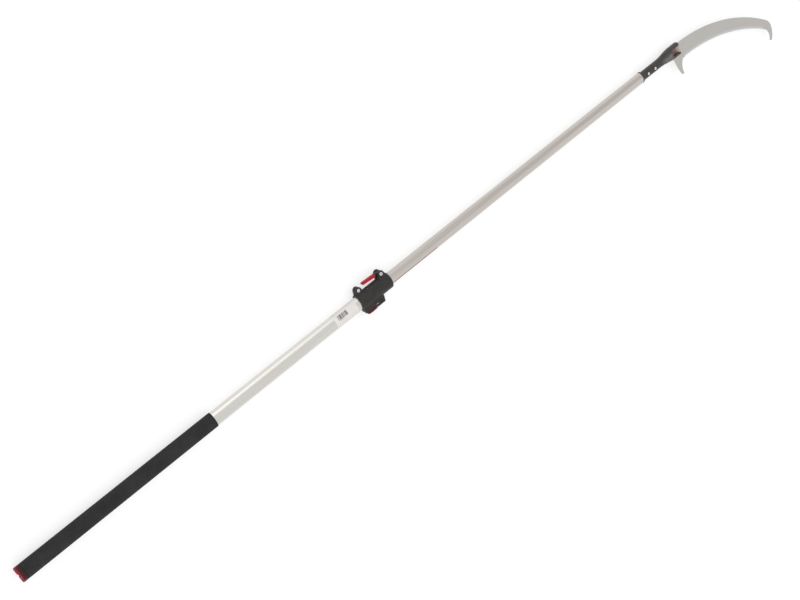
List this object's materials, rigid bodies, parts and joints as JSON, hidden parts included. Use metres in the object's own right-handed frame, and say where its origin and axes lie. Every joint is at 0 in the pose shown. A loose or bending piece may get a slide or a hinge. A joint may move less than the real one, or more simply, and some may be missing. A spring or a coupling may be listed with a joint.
{
  "type": "telescoping pole saw",
  "caption": "Telescoping pole saw: curved pruning blade with a tip hook and a heel sickle on an oval aluminium pole, clamped by a cam lever and a lock button.",
  "frame": {"origin": "centre of the butt end, on the axis of the pole", "axes": "+X along the pole from the butt towards the blade; Y in the blade plane, teeth and lock button towards -Y, lever towards +Y; +Z square to the blade, up as the saw lies flat"},
  "size_m": [2.6989, 0.225, 0.039],
  "materials": {
    "tube_aluminium": "satin anodised",
    "grip_rubber": "fine cross-hatched sleeve",
    "cap_red": "moulded",
    "collar_black": "fine spark-eroded texture",
    "liner_nylon": "natural nylon",
    "lever_red": "semi-gloss moulded",
    "button_red": "moulded",
    "holder_black": "satin glass-filled nylon",
    "blade_steel": "satin ground along the blade",
    "bolt_steel": "bright zinc plated"
  },
  "bodies": {
    "handle": {"lower_tube": "tube_aluminium", "grip_sleeve": "grip_rubber", "end_cap": "cap_red", "clamp_collar": "collar_black", "guide_liner": "liner_nylon", "pinch_bolt": "bolt_steel", "pinch_nut": "bolt_steel", "pivot_bolt": "bolt_steel", "pivot_nut": "bolt_steel", "hub_washers": "bolt_steel", "box_cover": "collar_black", "rocker_pin": "bolt_steel", "rocker_spring": "bolt_steel"},
    "upper_section": {"upper_tube": "tube_aluminium", "tube_guide": "liner_nylon", "blade_holder": "holder_black", "saw_blade": "blade_steel", "blade_bolts": "bolt_steel", "blade_nuts": "bolt_steel", "blade_washers": "bolt_steel", "holder_rivet": "tube_aluminium"},
    "lever": {"cam_lever": "collar_black", "lever_grip": "lever_red", "lever_bush": "bolt_steel"},
    "shoe": {"clamp_shoe": "button_red"},
    "rocker": {"lock_rocker": "button_red"},
    "pin": {"lock_pin": "bolt_steel"}
  },
  "joints": [
    {"name": "pole_extend", "type": "slide", "parent": "handle", "child": "upper_section", "axis": [1, 0, 0], "range_m": [-0.98, 0]},
    {"name": "lever_flip", "type": "hinge", "parent": "handle", "child": "lever", "pos_m": [1.0835, 0.031, 0], "axis": [0, 0, -1], "range_deg": [0, 150]},
    {"name": "shoe_press", "type": "slide", "parent": "handle", "child": "shoe", "axis": [0, 1, 0], "range_m": [0, 0.0006]},
    {"name": "lock_press", "type": "hinge", "parent": "handle", "child": "rocker", "pos_m": [1.031, -0.028, 0], "axis": [0, 0, -1], "range_deg": [-6, 5.5], "stiffness_Nm_per_rad": 1.2, "deforming": ["rocker_spring"]},
    {"name": "pin_lift", "type": "slide", "parent": "handle", "child": "pin", "axis": [0, -1, 0], "range_m": [-0.00252, 0.00231]}
  ],
  "couplings": [
    {"joint": "shoe_press", "follows": "lever_flip", "m_per_rad": 0.00022918},
    {"joint": "pin_lift", "follows": "lock_press", "m_per_rad": 0.024}
  ]
}
